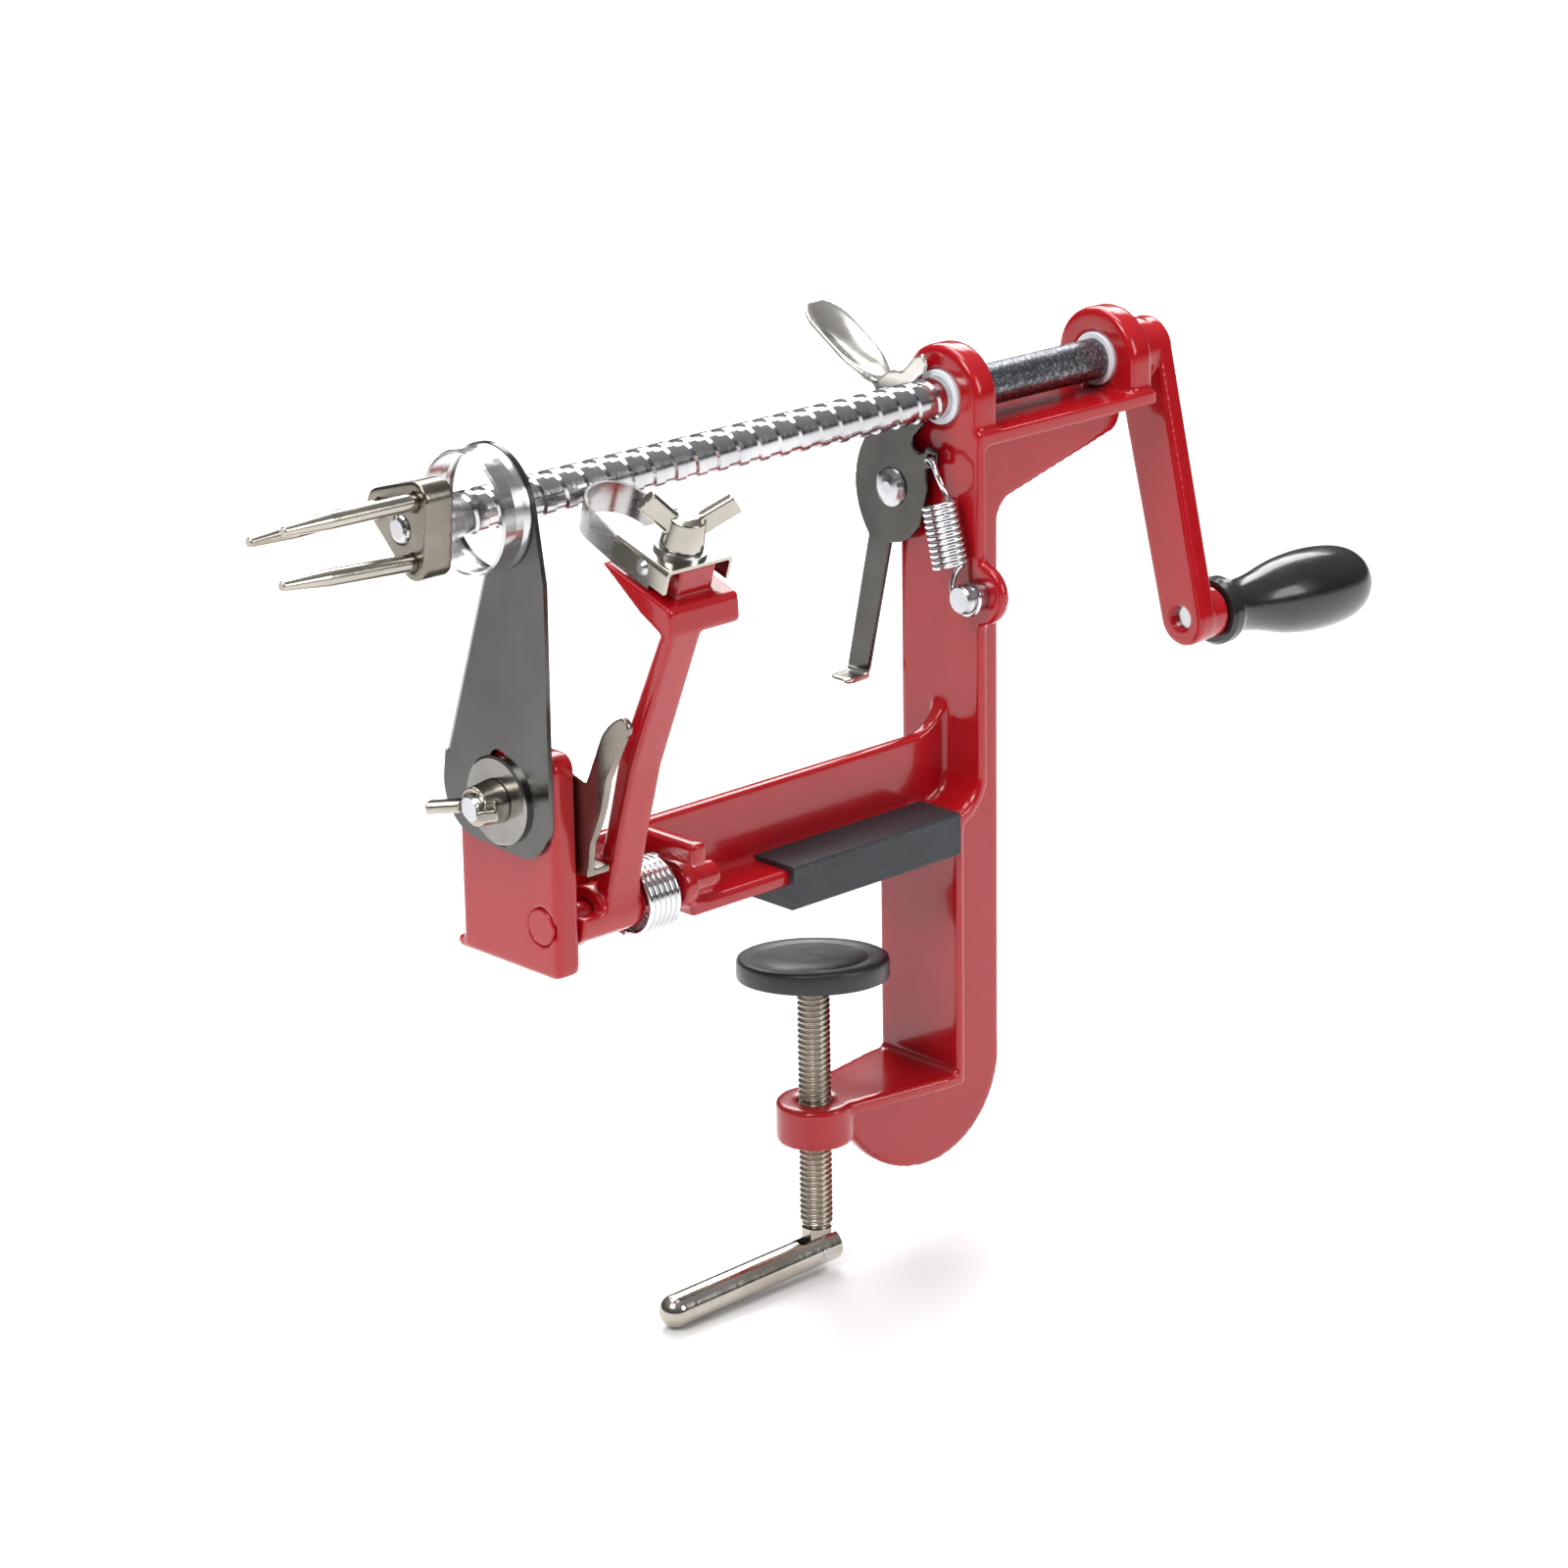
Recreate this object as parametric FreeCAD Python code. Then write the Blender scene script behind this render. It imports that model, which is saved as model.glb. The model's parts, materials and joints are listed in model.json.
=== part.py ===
"""Hand-cranked apple peeler and corer with a table clamp.

The feed screw lies along X, the crank is at +X and the fork at -X.  +Z is up.
The origin is on the underside of the rubber table pads, on the axis of the clamp screw.
All sizes are in millimetres.
"""
import FreeCAD, Part
import math
import os

Vector = FreeCAD.Vector
X_DIR = Vector(1, 0, 0)
Y_DIR = Vector(0, 1, 0)
Z_DIR = Vector(0, 0, 1)

# ---------------------------------------------------------------- driving dimensions
shaft_z = 107.5            # feed screw axis above the table
running = 0.05             # radial clearance of a running fit

casting_half_width = 13.5  # flanges of the casting, half width along Y
web_half = 1.8             # half thickness of the casting's middle web
post_x = 43.0              # face of the upright that looks at the apple
post_flange = 2.6
web_back_x = 61.0
lug_thickness = 7.4
rear_lug_x = 96.3
lug_radius = 12.5
shelf_top_z = 100.5
shelf_bottom_z = 97.1

beam_top_z = 26.7          # top of the beam's web
beam_flange_top_z = 9.3
beam_flange_bottom_z = 5.8
end_plate_x = -92.3        # outer face of the end plate
end_plate_thickness = 6.8
end_plate_half_width = 16.5
end_plate_top_z = 53.8
end_plate_bottom_z = 2.1

jaw_x = 35.2               # inner face of the C clamp's back
jaw_flange = 2.6
clamp_arm_top_z = -56.4
clamp_arm_thickness = 3.0
clamp_boss_radius = 9.4
clamp_boss_bottom_z = -66.6

pad_half_width = 15.2
pad_top_z = 10.6
pad_start_x = -20.0
pad_joint_x = 7.3
pad_end_x = 34.4

screw_crest = 5.0          # feed screw radii
screw_root = 4.45
feed_pitch = 6.35
screw_start_x = -110.8
screw_shoulder_x = 104.9
groove_start_x = -107.0
groove_end_x = 41.6

crank_x = 110.4            # face of the crank arm that looks at the frame
crank_thickness = 5.8
crank_radius = 67.1
grip_droop = 3.0           # the handle slopes down away from the crank, degrees
crank_tilt = math.radians(13.8)

block_x = -118.3           # outer face of the fork block
block_thickness = 7.5
tine_radius = 1.9
tine_tip_x = -153.0
lobe_radius = 4.2
tine_roots = (             # Y and height over the screw axis, and the lean of each tine in degrees
    (6.9, 3.5, -1.5),
    (-5.0, 6.9, 0.5),
    (-3.6, -6.7, 3.2),
)

stud_z = 41.3              # corer stud axis above the table
stud_radius = 3.0
corer_plate_x = -93.6
corer_plate_thickness = 1.2

pin_y = -11.0              # peeler arm pivot axis
pin_z = 14.0
pin_radius = 3.0
hub_radius = 6.2
arm_x = -77.8              # left side of the peeler arm
arm_width = 9.4

head_y = -39.5             # near top edge of the peeler head
head_z = 88.9
head_tilt = 18.0           # the head's top slopes up towards the screw, degrees
head_x = -78.0
head_length = 20.2
blade_axis_x = -68.4       # middle of the blade holder
wing_screw_s = 9.5         # wing screw axis, measured along the head's slope
hoop_end_s = 37.5          # far bend of the peeling blade, measured along the head's slope

lever_x = 39.7             # catch lever plate
lever_thickness = 1.4
lever_y = 12.5             # catch lever rivet axis
lever_z = 84.2
anchor_y = -13.0           # spring anchor pin axis
anchor_z = 62.0

clamp_screw_radius = 3.97
clamp_screw_top_z = -27.0
clamp_screw_shoulder_z = -89.0
tommy_z = -95.5
tommy_radius = 4.0
foot_radius = 18.2
foot_thickness = 5.2
foot_ball_z = -23.6
foot_ball_radius = 3.0
foot_tilt = 5.8            # the loose clamp foot leans by this many degrees
foot_tilt_axis = Vector(-0.730, 0.683, 0)


# ---------------------------------------------------------------- building helpers
def box(x0, x1, y0, y1, z0, z1):
    return Part.makeBox(x1 - x0, y1 - y0, z1 - z0, Vector(x0, y0, z0))


def rod_x(radius, x0, x1, y=0.0, z=0.0):
    return Part.makeCylinder(radius, x1 - x0, Vector(x0, y, z), X_DIR)


def rod_y(radius, y0, y1, x=0.0, z=0.0):
    return Part.makeCylinder(radius, y1 - y0, Vector(x, y0, z), Y_DIR)


def rod_z(radius, z0, z1, x=0.0, y=0.0):
    return Part.makeCylinder(radius, z1 - z0, Vector(x, y, z0), Z_DIR)


def outline(start, steps, place):
    """Closed wire from 2-D steps: (end) is a straight run, (middle, end) is an arc."""
    edges = []
    here = start
    for step in steps:
        if len(step) == 2 and isinstance(step[0], tuple):
            middle, end = step
            arc = Part.Arc(place(*here), place(*middle), place(*end))
            edges.append(arc.toShape())
        else:
            end = step
            edges.append(Part.makeLine(place(*here), place(*end)))
        here = end
    if (place(*here) - place(*start)).Length > 1e-6:
        edges.append(Part.makeLine(place(*here), place(*start)))
    return Part.Wire(edges)


def prism_xz(start, steps, y0, y1):
    wire = outline(start, steps, lambda a, b: Vector(a, y0, b))
    return Part.Face(wire).extrude(Vector(0, y1 - y0, 0))


def prism_yz(start, steps, x0, x1):
    wire = outline(start, steps, lambda a, b: Vector(x0, a, b))
    return Part.Face(wire).extrude(Vector(x1 - x0, 0, 0))


def prism_xy(start, steps, z0, z1):
    wire = outline(start, steps, lambda a, b: Vector(a, b, z0))
    return Part.Face(wire).extrude(Vector(0, 0, z1 - z0))


def turned(points, y, z):
    """Solid of revolution about an axis along X; points are (x, radius) pairs."""
    closed = [(points[0][0], 0.0)] + list(points) + [(points[-1][0], 0.0)]
    corners = [Vector(a, 0, b) for a, b in closed]
    corners = [c for i, c in enumerate(corners) if i == 0 or (c - corners[i - 1]).Length > 1e-6]
    face = Part.Face(Part.makePolygon(corners + [corners[0]]))
    solid = face.revolve(Vector(0, 0, 0), X_DIR, 360)
    solid.translate(Vector(0, y, z))
    return solid


def bar_between(r0, y0, z0, r1, y1, z1, x0, x1):
    """Flat bar in the YZ plane with a round end of its own radius at each end."""
    run = Vector(0, y1 - y0, z1 - z0)
    length = run.Length
    along = math.atan2(run.z, run.y)
    lean = math.acos((r0 - r1) / length)

    def rim(cy, cz, radius, angle):
        return (cy + radius * math.cos(angle), cz + radius * math.sin(angle))

    a = rim(y0, z0, r0, along + lean)
    b = rim(y0, z0, r0, along + math.pi)
    c = rim(y0, z0, r0, along - lean)
    d = rim(y1, z1, r1, along - lean)
    e = rim(y1, z1, r1, along)
    f = rim(y1, z1, r1, along + lean)
    return prism_yz(a, [(b, c), d, (e, f), a], x0, x1)


def fuse(first, *others):
    return first.fuse(list(others)).removeSplitter()


def rounded(solid, radius, wanted):
    """Round the edges whose middle point passes the test."""
    chosen = []
    for edge in solid.Edges:
        middle = edge.valueAt((edge.FirstParameter + edge.LastParameter) / 2)
        if wanted(edge, middle):
            chosen.append(edge)
    return solid.makeFillet(radius, chosen)


def coil(wire_radius, mean_radius, pitch, turns, start, axis):
    """Round wire wound on a helix that starts at a point and climbs along an axis."""
    helix = Part.makeHelix(pitch, pitch * turns, mean_radius)
    section = Part.Wire(Part.makeCircle(wire_radius, Vector(mean_radius, 0, 0), Y_DIR))
    spring = Part.Wire(helix).makePipeShell([section], True, True)
    spring.Placement = FreeCAD.Placement(start, FreeCAD.Rotation(Z_DIR, axis))
    return spring


def bent_wire(radius, points):
    """Round wire along straight runs joined by arcs, given as (point) or (middle, end)."""
    edges = []
    here = points[0]
    for step in points[1:]:
        if isinstance(step, tuple):
            edges.append(Part.Arc(here, step[0], step[1]).toShape())
            here = step[1]
        else:
            edges.append(Part.makeLine(here, step))
            here = step
    path = Part.Wire(edges)
    first = edges[0]
    tangent = first.tangentAt(first.FirstParameter)
    section = Part.Wire(Part.makeCircle(radius, points[0], tangent))
    return path.makePipeShell([section], True, False)


def on_head(solid):
    """Place a solid drawn in the head's own sloping frame: X, up the slope, off the slope."""
    slope = FreeCAD.Rotation(X_DIR, head_tilt)
    solid.Placement = FreeCAD.Placement(Vector(0, head_y, head_z), slope).multiply(solid.Placement)
    return solid


# ---------------------------------------------------------------- the casting
def casting_web():
    """Middle web: upright, beam, gusset under the shelf and the round foot of the clamp."""
    beam_end = end_plate_x + end_plate_thickness - 0.5
    steps = [
        (post_x + 0.5, beam_top_z + 10),
        ((post_x - 2.9, beam_top_z + 2.9), (post_x - 10, beam_top_z)),
        (beam_end, beam_top_z),
        (beam_end, 1.6),
        (-50.0, 3.2),
        (-42.0, beam_flange_bottom_z + 0.5),
        (jaw_x + 0.5, beam_flange_bottom_z + 0.5),
        (jaw_x + 0.5, clamp_arm_top_z - 0.5),
        (6.0, clamp_arm_top_z - 0.5),
        (6.0, clamp_boss_bottom_z + 0.3),
        (9.4, clamp_boss_bottom_z + 0.3),
        ((19.0, -77.6), (37.0, -83.6)),
        ((54.8, -76.2), (web_back_x, -57.0)),
        (web_back_x, 74.0),
        ((62.6, 78.0), (66.5, 80.1)),
        (99.6, 88.7),
        ((102.6, 90.3), (103.7, 93.4)),
        (103.7, shelf_bottom_z + 0.5),
        (post_x + 0.5, shelf_bottom_z + 0.5),
    ]
    return prism_xz((post_x + 0.5, shelf_bottom_z + 0.5), steps[:-1], -web_half, web_half)


def casting_flanges():
    """Wide flanges that follow the inside of the casting."""
    wide = casting_half_width
    upright = prism_xz((post_x, shelf_bottom_z + 1), [
        (post_x, 17.9),
        ((40.5, 11.8), (34.4, beam_flange_top_z)),
        (-46.9, beam_flange_top_z),
        (-46.9, beam_flange_bottom_z),
        (34.4, beam_flange_bottom_z),
        ((42.3, 9.4), (post_x + post_flange, 17.9)),
        (post_x + post_flange, shelf_bottom_z + 1),
    ], -wide, wide)
    upright = rounded(upright, 0.8, lambda edge, m: abs(abs(m.y) - wide) < 0.01 and
                      edge.BoundBox.YLength < 0.01 and m.x < post_x + 0.1 and m.z > 10)
    beam_far_side = box(end_plate_x + 6, -46.0, -web_half, wide, beam_flange_bottom_z, beam_flange_top_z)
    jaw_back = box(jaw_x, jaw_x + jaw_flange, -wide, wide,
                   clamp_arm_top_z - clamp_arm_thickness, beam_flange_bottom_z + 1)
    jaw_back = rounded(jaw_back, 0.8, lambda edge, m: abs(abs(m.y) - wide) < 0.01 and
                       edge.BoundBox.ZLength > 10)
    shelf = box(post_x, rear_lug_x + lug_thickness, -wide, wide, shelf_bottom_z, shelf_top_z)
    return fuse(upright, beam_far_side, jaw_back, shelf)


def clamp_arm():
    """Arm under the table that ends in the threaded boss."""
    wide = casting_half_width
    narrow = clamp_boss_radius
    plate = prism_xy((jaw_x + 1, -wide), [
        (jaw_x - 4, -wide),
        (4.0, -narrow + 0.6),
        (4.0, narrow - 0.6),
        (jaw_x - 4, wide),
        (jaw_x + 1, wide),
    ], clamp_arm_top_z - clamp_arm_thickness, clamp_arm_top_z)
    boss = rod_z(clamp_boss_radius, clamp_boss_bottom_z, clamp_arm_top_z)
    return fuse(plate, boss)


def bearing_lug(x0):
    """Round-topped lug that carries a bush of the feed screw."""
    r = lug_radius
    lug = prism_yz((-r, shelf_bottom_z), [
        (-r, shaft_z),
        ((0.0, shaft_z + r), (r, shaft_z)),
        (r, shelf_bottom_z),
    ], x0, x0 + lug_thickness)
    return rounded(lug, 1.4, lambda edge, m: m.z > shelf_top_z and
                   abs(edge.BoundBox.XLength) < 0.01)


def end_plate():
    """Upright plate at the far end of the beam, with a toe at its lower far corner."""
    x1 = end_plate_x + end_plate_thickness
    half = end_plate_half_width
    corner = 4.0
    foot = 2.5
    cut = 1 - math.sqrt(0.5)
    plate = prism_yz((-half, end_plate_bottom_z + foot), [
        (-half, end_plate_top_z - corner),
        ((-half + corner * cut, end_plate_top_z - corner * cut), (-half + corner, end_plate_top_z)),
        (half - corner, end_plate_top_z),
        ((half - corner * cut, end_plate_top_z - corner * cut), (half, end_plate_top_z - corner)),
        (half, end_plate_bottom_z),
        (-half + foot, end_plate_bottom_z),
        ((-half + foot * cut, end_plate_bottom_z + foot * cut), (-half, end_plate_bottom_z + foot)),
    ], end_plate_x, x1)
    plate = rounded(plate, 1.3, lambda edge, m: edge.BoundBox.XLength < 0.01 and m.z > 3)
    toe = prism_yz((half - 3, end_plate_bottom_z), [
        (half + 1.2, end_plate_bottom_z),
        ((half + 2.6, end_plate_bottom_z + 1.4), (half + 1.2, end_plate_bottom_z + 2.8)),
        (half - 3, end_plate_bottom_z + 2.8),
    ], end_plate_x + 0.4, x1 - 0.4)
    return fuse(plate, toe)


def pivot_lug():
    """Lug and stub on the beam that hold the inner end of the peeler arm's pin."""
    r = 5.6
    lug = prism_yz((-web_half + 0.5, pin_z - r), [
        (-web_half + 0.5, pin_z + r),
        (pin_y, pin_z + r),
        ((pin_y - r, pin_z), (pin_y, pin_z - r)),
    ], -54.3, -49.6)
    stub = rod_x(3.4, -49.8, -41.0, pin_y, pin_z)
    stub = rounded(stub, 1.2, lambda edge, m: m.x > -41.5 and edge.BoundBox.XLength < 0.01)
    foot = box(-49.8, -46.0, -casting_half_width, -web_half, beam_flange_bottom_z, beam_flange_top_z)
    return fuse(lug, stub, foot)


def stop_bar():
    """Finger that stands out of the beam's web above the torsion spring."""
    bar = box(-57.0, -52.5, -22.0, -web_half + 0.5, 21.6, beam_top_z)
    return rounded(bar, 0.9, lambda edge, m: m.y < -2 and m.z > 21.7)


def frame_casting():
    ear = rod_x(5.6, lever_x + lever_thickness + 0.1, post_x + post_flange, lever_y, lever_z)
    anchor_boss = rod_x(7.5, post_x, post_x + 3.0, anchor_y, anchor_z)
    anchor_boss = rounded(anchor_boss, 0.8, lambda edge, m: edge.BoundBox.XLength < 0.01)
    body = fuse(casting_web(), casting_flanges(), clamp_arm(), bearing_lug(post_x),
                bearing_lug(rear_lug_x), end_plate(), pivot_lug(), stop_bar(), ear, anchor_boss)
    lug_end = rear_lug_x + lug_thickness
    bores = [
        rod_x(6.5 + running, post_x - 1, lug_end + 1, 0, shaft_z),
        rod_z(clamp_screw_radius + running, clamp_boss_bottom_z - 1, clamp_arm_top_z + 1),
        rod_x(pin_radius, end_plate_x - 1, -50.5, pin_y, pin_z),
        rod_x(4.2, end_plate_x - 1, end_plate_x + 3.0, pin_y, pin_z),
        rod_x(stud_radius, end_plate_x - 1, -80, 0, stud_z),
        rod_x(2.5, lever_x, post_x + post_flange + 1, lever_y, lever_z),
        rod_x(2.6, post_x - 1, post_x + 4, anchor_y, anchor_z),
    ]
    return body.cut(bores)


# ---------------------------------------------------------------- table pads
def table_pad(x0, x1):
    """Rubber block that slips over the beam's flange from both sides of the web."""
    block = box(x0, x1, -pad_half_width, pad_half_width, 0, pad_top_z)
    block = rounded(block, 0.8, lambda edge, m: abs(abs(m.y) - pad_half_width) < 0.01 and
                    edge.BoundBox.XLength > 1)
    flange = box(x0 - 1, x1 + 1, -casting_half_width, casting_half_width,
                 beam_flange_bottom_z, beam_flange_top_z)
    web = box(x0 - 1, x1 + 1, -web_half, web_half, beam_flange_top_z - 1, pad_top_z + 1)
    return block.cut([flange, web])


# ---------------------------------------------------------------- feed screw and crank
def bush(x0):
    """Plain nylon bush with a thin rim that stands proud of the lug."""
    sleeve = rod_x(6.5, x0 - 0.5, x0 + lug_thickness + 0.3, 0, shaft_z)
    sleeve = rounded(sleeve, 0.3, lambda edge, m: edge.BoundBox.XLength < 0.01)
    return sleeve.cut(rod_x(screw_crest + running, x0 - 2, x0 + lug_thickness + 2, 0, shaft_z))


def feed_groove():
    """Wide, shallow helical groove with slanting sides, right-hand."""
    depth = screw_crest - screw_root
    overshoot = 0.6
    bottom_half = 1.25
    top_half = bottom_half + depth + overshoot
    helix = Part.makeHelix(feed_pitch, groove_end_x - groove_start_x, screw_root)
    corners = [
        Vector(screw_root, 0, -bottom_half),
        Vector(screw_crest + overshoot, 0, -top_half),
        Vector(screw_crest + overshoot, 0, top_half),
        Vector(screw_root, 0, bottom_half),
    ]
    profile = Part.makePolygon(corners + [corners[0]])
    groove = Part.Wire(helix).makePipeShell([profile], True, True)
    turn = FreeCAD.Rotation(Z_DIR, X_DIR)
    groove.Placement = FreeCAD.Placement(Vector(groove_start_x, 0, shaft_z), turn)
    return groove


def groove_phase():
    """Angle that brings the groove to the catch lever's tooth, on the +Y side of the screw."""
    tooth_x = lever_x + lever_thickness / 2
    turns = (tooth_x - groove_start_x) / feed_pitch
    start_direction = FreeCAD.Rotation(Z_DIR, X_DIR).multVec(X_DIR)
    start_angle = math.degrees(math.atan2(start_direction.z, start_direction.y))
    return -(start_angle + 360 * (turns - math.floor(turns)))


def feed_screw():
    groove = feed_groove()
    groove.rotate(Vector(0, 0, shaft_z), X_DIR, groove_phase())
    grooved = rod_x(screw_crest, screw_start_x, screw_shoulder_x, 0, shaft_z).cut(groove)
    crank_seat = rod_x(4.0, screw_shoulder_x - 0.1, crank_x + crank_thickness, 0, shaft_z)
    tenon = turned([
        (block_x - 0.9, 2.1),
        (block_x - 0.5, 2.9),
        (block_x, 3.2),
        (block_x, 3.0),
        (screw_start_x + 0.1, 3.0),
    ], 0, shaft_z)
    screw = fuse(grooved, crank_seat, tenon)
    return screw.cut(rod_x(2.1, 109.0, 119.0, 0, shaft_z))


def crank_end():
    return (-crank_radius * math.sin(crank_tilt), shaft_z - crank_radius * math.cos(crank_tilt))


def droop(solid):
    """Turn a piece of the handle down about the crank arm's end."""
    end_y, end_z = crank_end()
    solid.rotate(Vector(crank_x + crank_thickness, end_y, end_z), Y_DIR, grip_droop)
    return solid


def crank_arm():
    end_y, end_z = crank_end()
    back = crank_x + crank_thickness
    bar = bar_between(7.6, 0, shaft_z, 6.9, end_y, end_z, crank_x, back)
    bar = rounded(bar, 1.2, lambda edge, m: edge.BoundBox.XLength < 0.01)
    hub = rod_x(7.8, 104.9, crank_x + 1, 0, shaft_z)
    handle_boss = rod_x(6.6, crank_x + 2, 120.9, end_y, end_z)
    arm = fuse(bar, hub, handle_boss)
    return arm.cut([
        rod_x(4.0, 104, 122, 0, shaft_z),
        droop(rod_x(3.0, crank_x - 3, 124, end_y, end_z)),
    ])


def crank_screw():
    """Button-head screw that holds the crank on the shaft."""
    back = crank_x + crank_thickness
    head = turned([(back, 6.0), (back + 1.2, 5.8), (back + 2.6, 4.4), (back + 3.1, 2.4)], 0, shaft_z)
    shank = rod_x(2.1, 109.0, back + 0.5, 0, shaft_z)
    socket = prism_yz((2.0, shaft_z), [
        (2.0 * math.cos(math.radians(a)), shaft_z + 2.0 * math.sin(math.radians(a)))
        for a in range(60, 360, 60)
    ], back + 1.0, back + 4)
    return fuse(head, shank).cut(socket)


def handle_bolt():
    end_y, end_z = crank_end()
    shank = rod_x(3.0, 112.2, 169.0, end_y, end_z)
    head = turned([(168.2, 5.0), (171.0, 5.0), (172.0, 3.6)], end_y, end_z)
    bolt = fuse(shank, head)
    slot = box(170.6, 173.0, end_y - 0.7, end_y + 0.7, end_z - 6, end_z + 6)
    return droop(bolt.cut(slot))


def handle_grip():
    """Turned plastic grip with a collar, a waist and a full end."""
    end_y, end_z = crank_end()
    waist = [
        (126.8, 6.9), (130.5, 6.6), (134.5, 6.9), (139.0, 7.7), (145.0, 9.1),
        (151.5, 10.1), (158.0, 10.5), (164.0, 10.3), (169.0, 9.6), (173.0, 8.2),
        (175.8, 6.3), (176.8, 5.4),
    ]
    curve = Part.BSplineCurve()
    curve.interpolate([Vector(a, 0, b) for a, b in waist])
    points = [Vector(126.8, 0, 6.9), Vector(125.9, 0, 8.0), Vector(124.6, 0, 8.5),
              Vector(122.4, 0, 8.5), Vector(121.3, 0, 7.7), Vector(121.3, 0, 3.1),
              Vector(168.0, 0, 3.1), Vector(168.0, 0, 5.2), Vector(176.8, 0, 5.2),
              Vector(176.8, 0, 5.4)]
    face = Part.Face(Part.Wire([curve.toShape()] + Part.makePolygon(points).Edges))
    grip = face.revolve(Vector(0, 0, 0), X_DIR, 360)
    grip.translate(Vector(0, end_y, end_z))
    return droop(grip)


# ---------------------------------------------------------------- fork
def fork_block():
    """Rounded three-cornered block riveted on the screw's end."""
    x1 = block_x + block_thickness
    pieces = []
    for number, root in enumerate(tine_roots):
        y, dz = root[:2]
        next_y, next_dz = tine_roots[(number + 1) % len(tine_roots)][:2]
        pieces.append(bar_between(6.0, 0, shaft_z, lobe_radius, y, shaft_z + dz, block_x, x1))
        pieces.append(bar_between(lobe_radius, y, shaft_z + dz,
                                  lobe_radius, next_y, shaft_z + next_dz, block_x, x1))
    block = fuse(pieces[0], *pieces[1:])
    block = block.cut(rod_x(3.0, block_x - 1, x1 + 1, 0, shaft_z))
    return block.cut([tine(root) for root in tine_roots])


def tine(root):
    """Straight steel tine with a tapered point, set into the block with a slight lean."""
    y, dz, lean = root
    spike = turned([
        (tine_tip_x, 0.9),
        (tine_tip_x + 0.3, 1.1),
        (tine_tip_x + 12.0, tine_radius),
        (block_x + block_thickness - 1.5, tine_radius),
    ], y, shaft_z + dz)
    spike.rotate(Vector(block_x, y, shaft_z + dz), Y_DIR, lean)
    return spike


# ---------------------------------------------------------------- corer and slicing blade
def corer_blade():
    """Steel plate with a slanting slicing edge and a flared coring ring at its top."""
    ring_outer = 14.3
    back = corer_plate_x + corer_plate_thickness
    plate = prism_yz((-14.2, shaft_z + 2), [
        (-16.9, 93.0),
        (-16.4, 39.5),
        ((-13.6, 32.6), (-7.1, 29.4)),
        (9.6, 30.4),
        ((17.2, 35.0), (19.2, 43.5)),
        (18.3, 49.8),
        (3.6, 92.5),
        (3.6, shaft_z - 13.0),
    ], corer_plate_x, back)
    plate = fuse(plate, rod_x(ring_outer, corer_plate_x, back, 0, shaft_z))
    ring = turned([
        (-101.4, 13.55), (-100.8, 13.9), (-99.6, 13.8), (-97.6, 13.65),
        (-95.6, 13.7), (-94.4, 14.0), (back, ring_outer),
    ], 0, shaft_z)
    inside = turned([
        (-102.0, 13.4), (-101.4, 13.4), (-100.8, 13.1), (-97.6, 12.95),
        (-95.6, 13.0), (-94.2, 13.3), (back, 13.7), (back + 0.5, 13.7),
    ], 0, shaft_z)
    slot_half = stud_radius + 0.25
    slot = fuse(box(corer_plate_x - 1, back + 1, -slot_half, slot_half, 33.6, 49.6),
                rod_x(slot_half, corer_plate_x - 1, back + 1, 0, 33.6),
                rod_x(slot_half, corer_plate_x - 1, back + 1, 0, 49.6))
    blade = fuse(plate, ring).cut([inside, slot])
    bevel_top = Vector(corer_plate_x, 3.6, 92.5)
    bevel_foot = Vector(corer_plate_x, 18.3, 49.8)
    edge_run = bevel_foot - bevel_top
    out = X_DIR.cross(edge_run).normalize()
    if out.y < 0:
        out = out * -1
    corners = [
        bevel_top - edge_run * 0.02 - out * 1.6 - X_DIR * 0.01,
        bevel_top - edge_run * 0.02 + out * 1.0 + X_DIR * 1.5,
        bevel_top - edge_run * 0.02 + out * 1.0 - X_DIR * 0.5,
        bevel_top - edge_run * 0.02 - out * 1.6 - X_DIR * 0.5,
    ]
    bevel = Part.Face(Part.makePolygon(corners + [corners[0]])).extrude(edge_run * 1.04)
    return blade.cut(bevel)


def corer_washer():
    x1 = corer_plate_x
    disc = turned([(x1 - 1.4, 9.6), (x1 - 1.0, 10.2), (x1, 10.2)], 0, stud_z)
    return disc.cut(rod_x(stud_radius + 0.15, x1 - 3, x1 + 1, 0, stud_z))


def corer_stud():
    """Threaded stud through the end plate, with a round head behind the arm catch."""
    head_x0 = end_plate_x + end_plate_thickness + 1.9
    shank = turned([(-102.6, 2.5), (-102.0, stud_radius), (head_x0 + 0.5, stud_radius)], 0, stud_z)
    head = turned([(head_x0, 5.2), (head_x0 + 1.4, 5.0), (head_x0 + 2.4, 3.4)], 0, stud_z)
    return fuse(shank, head)


def wing(reach, rise, height, thickness, lean):
    """One wing of a wing nut, drawn along +X and rising along +Z from the hub's foot."""
    blade = box(0, reach, -thickness / 2, thickness / 2, 0, height)
    blade = rounded(blade, 0.8, lambda edge, m: edge.BoundBox.XLength > 1)
    blade.rotate(Vector(0, 0, 0), Y_DIR, -lean)
    blade.translate(Vector(2.0, 0, rise))
    return blade


def wing_hub(hub_radius_low, hub_radius_high, height, bore):
    hub = Part.makeCone(hub_radius_low, hub_radius_high, height)
    left = wing(12.4, 1.2, 4.8, 2.6, 38)
    right = wing(12.4, 1.2, 4.8, 2.6, 38)
    right.rotate(Vector(0, 0, 0), Z_DIR, 180)
    nut = fuse(hub, left, right)
    return nut.cut(rod_z(bore, -1, 20)) if bore else nut


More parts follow.
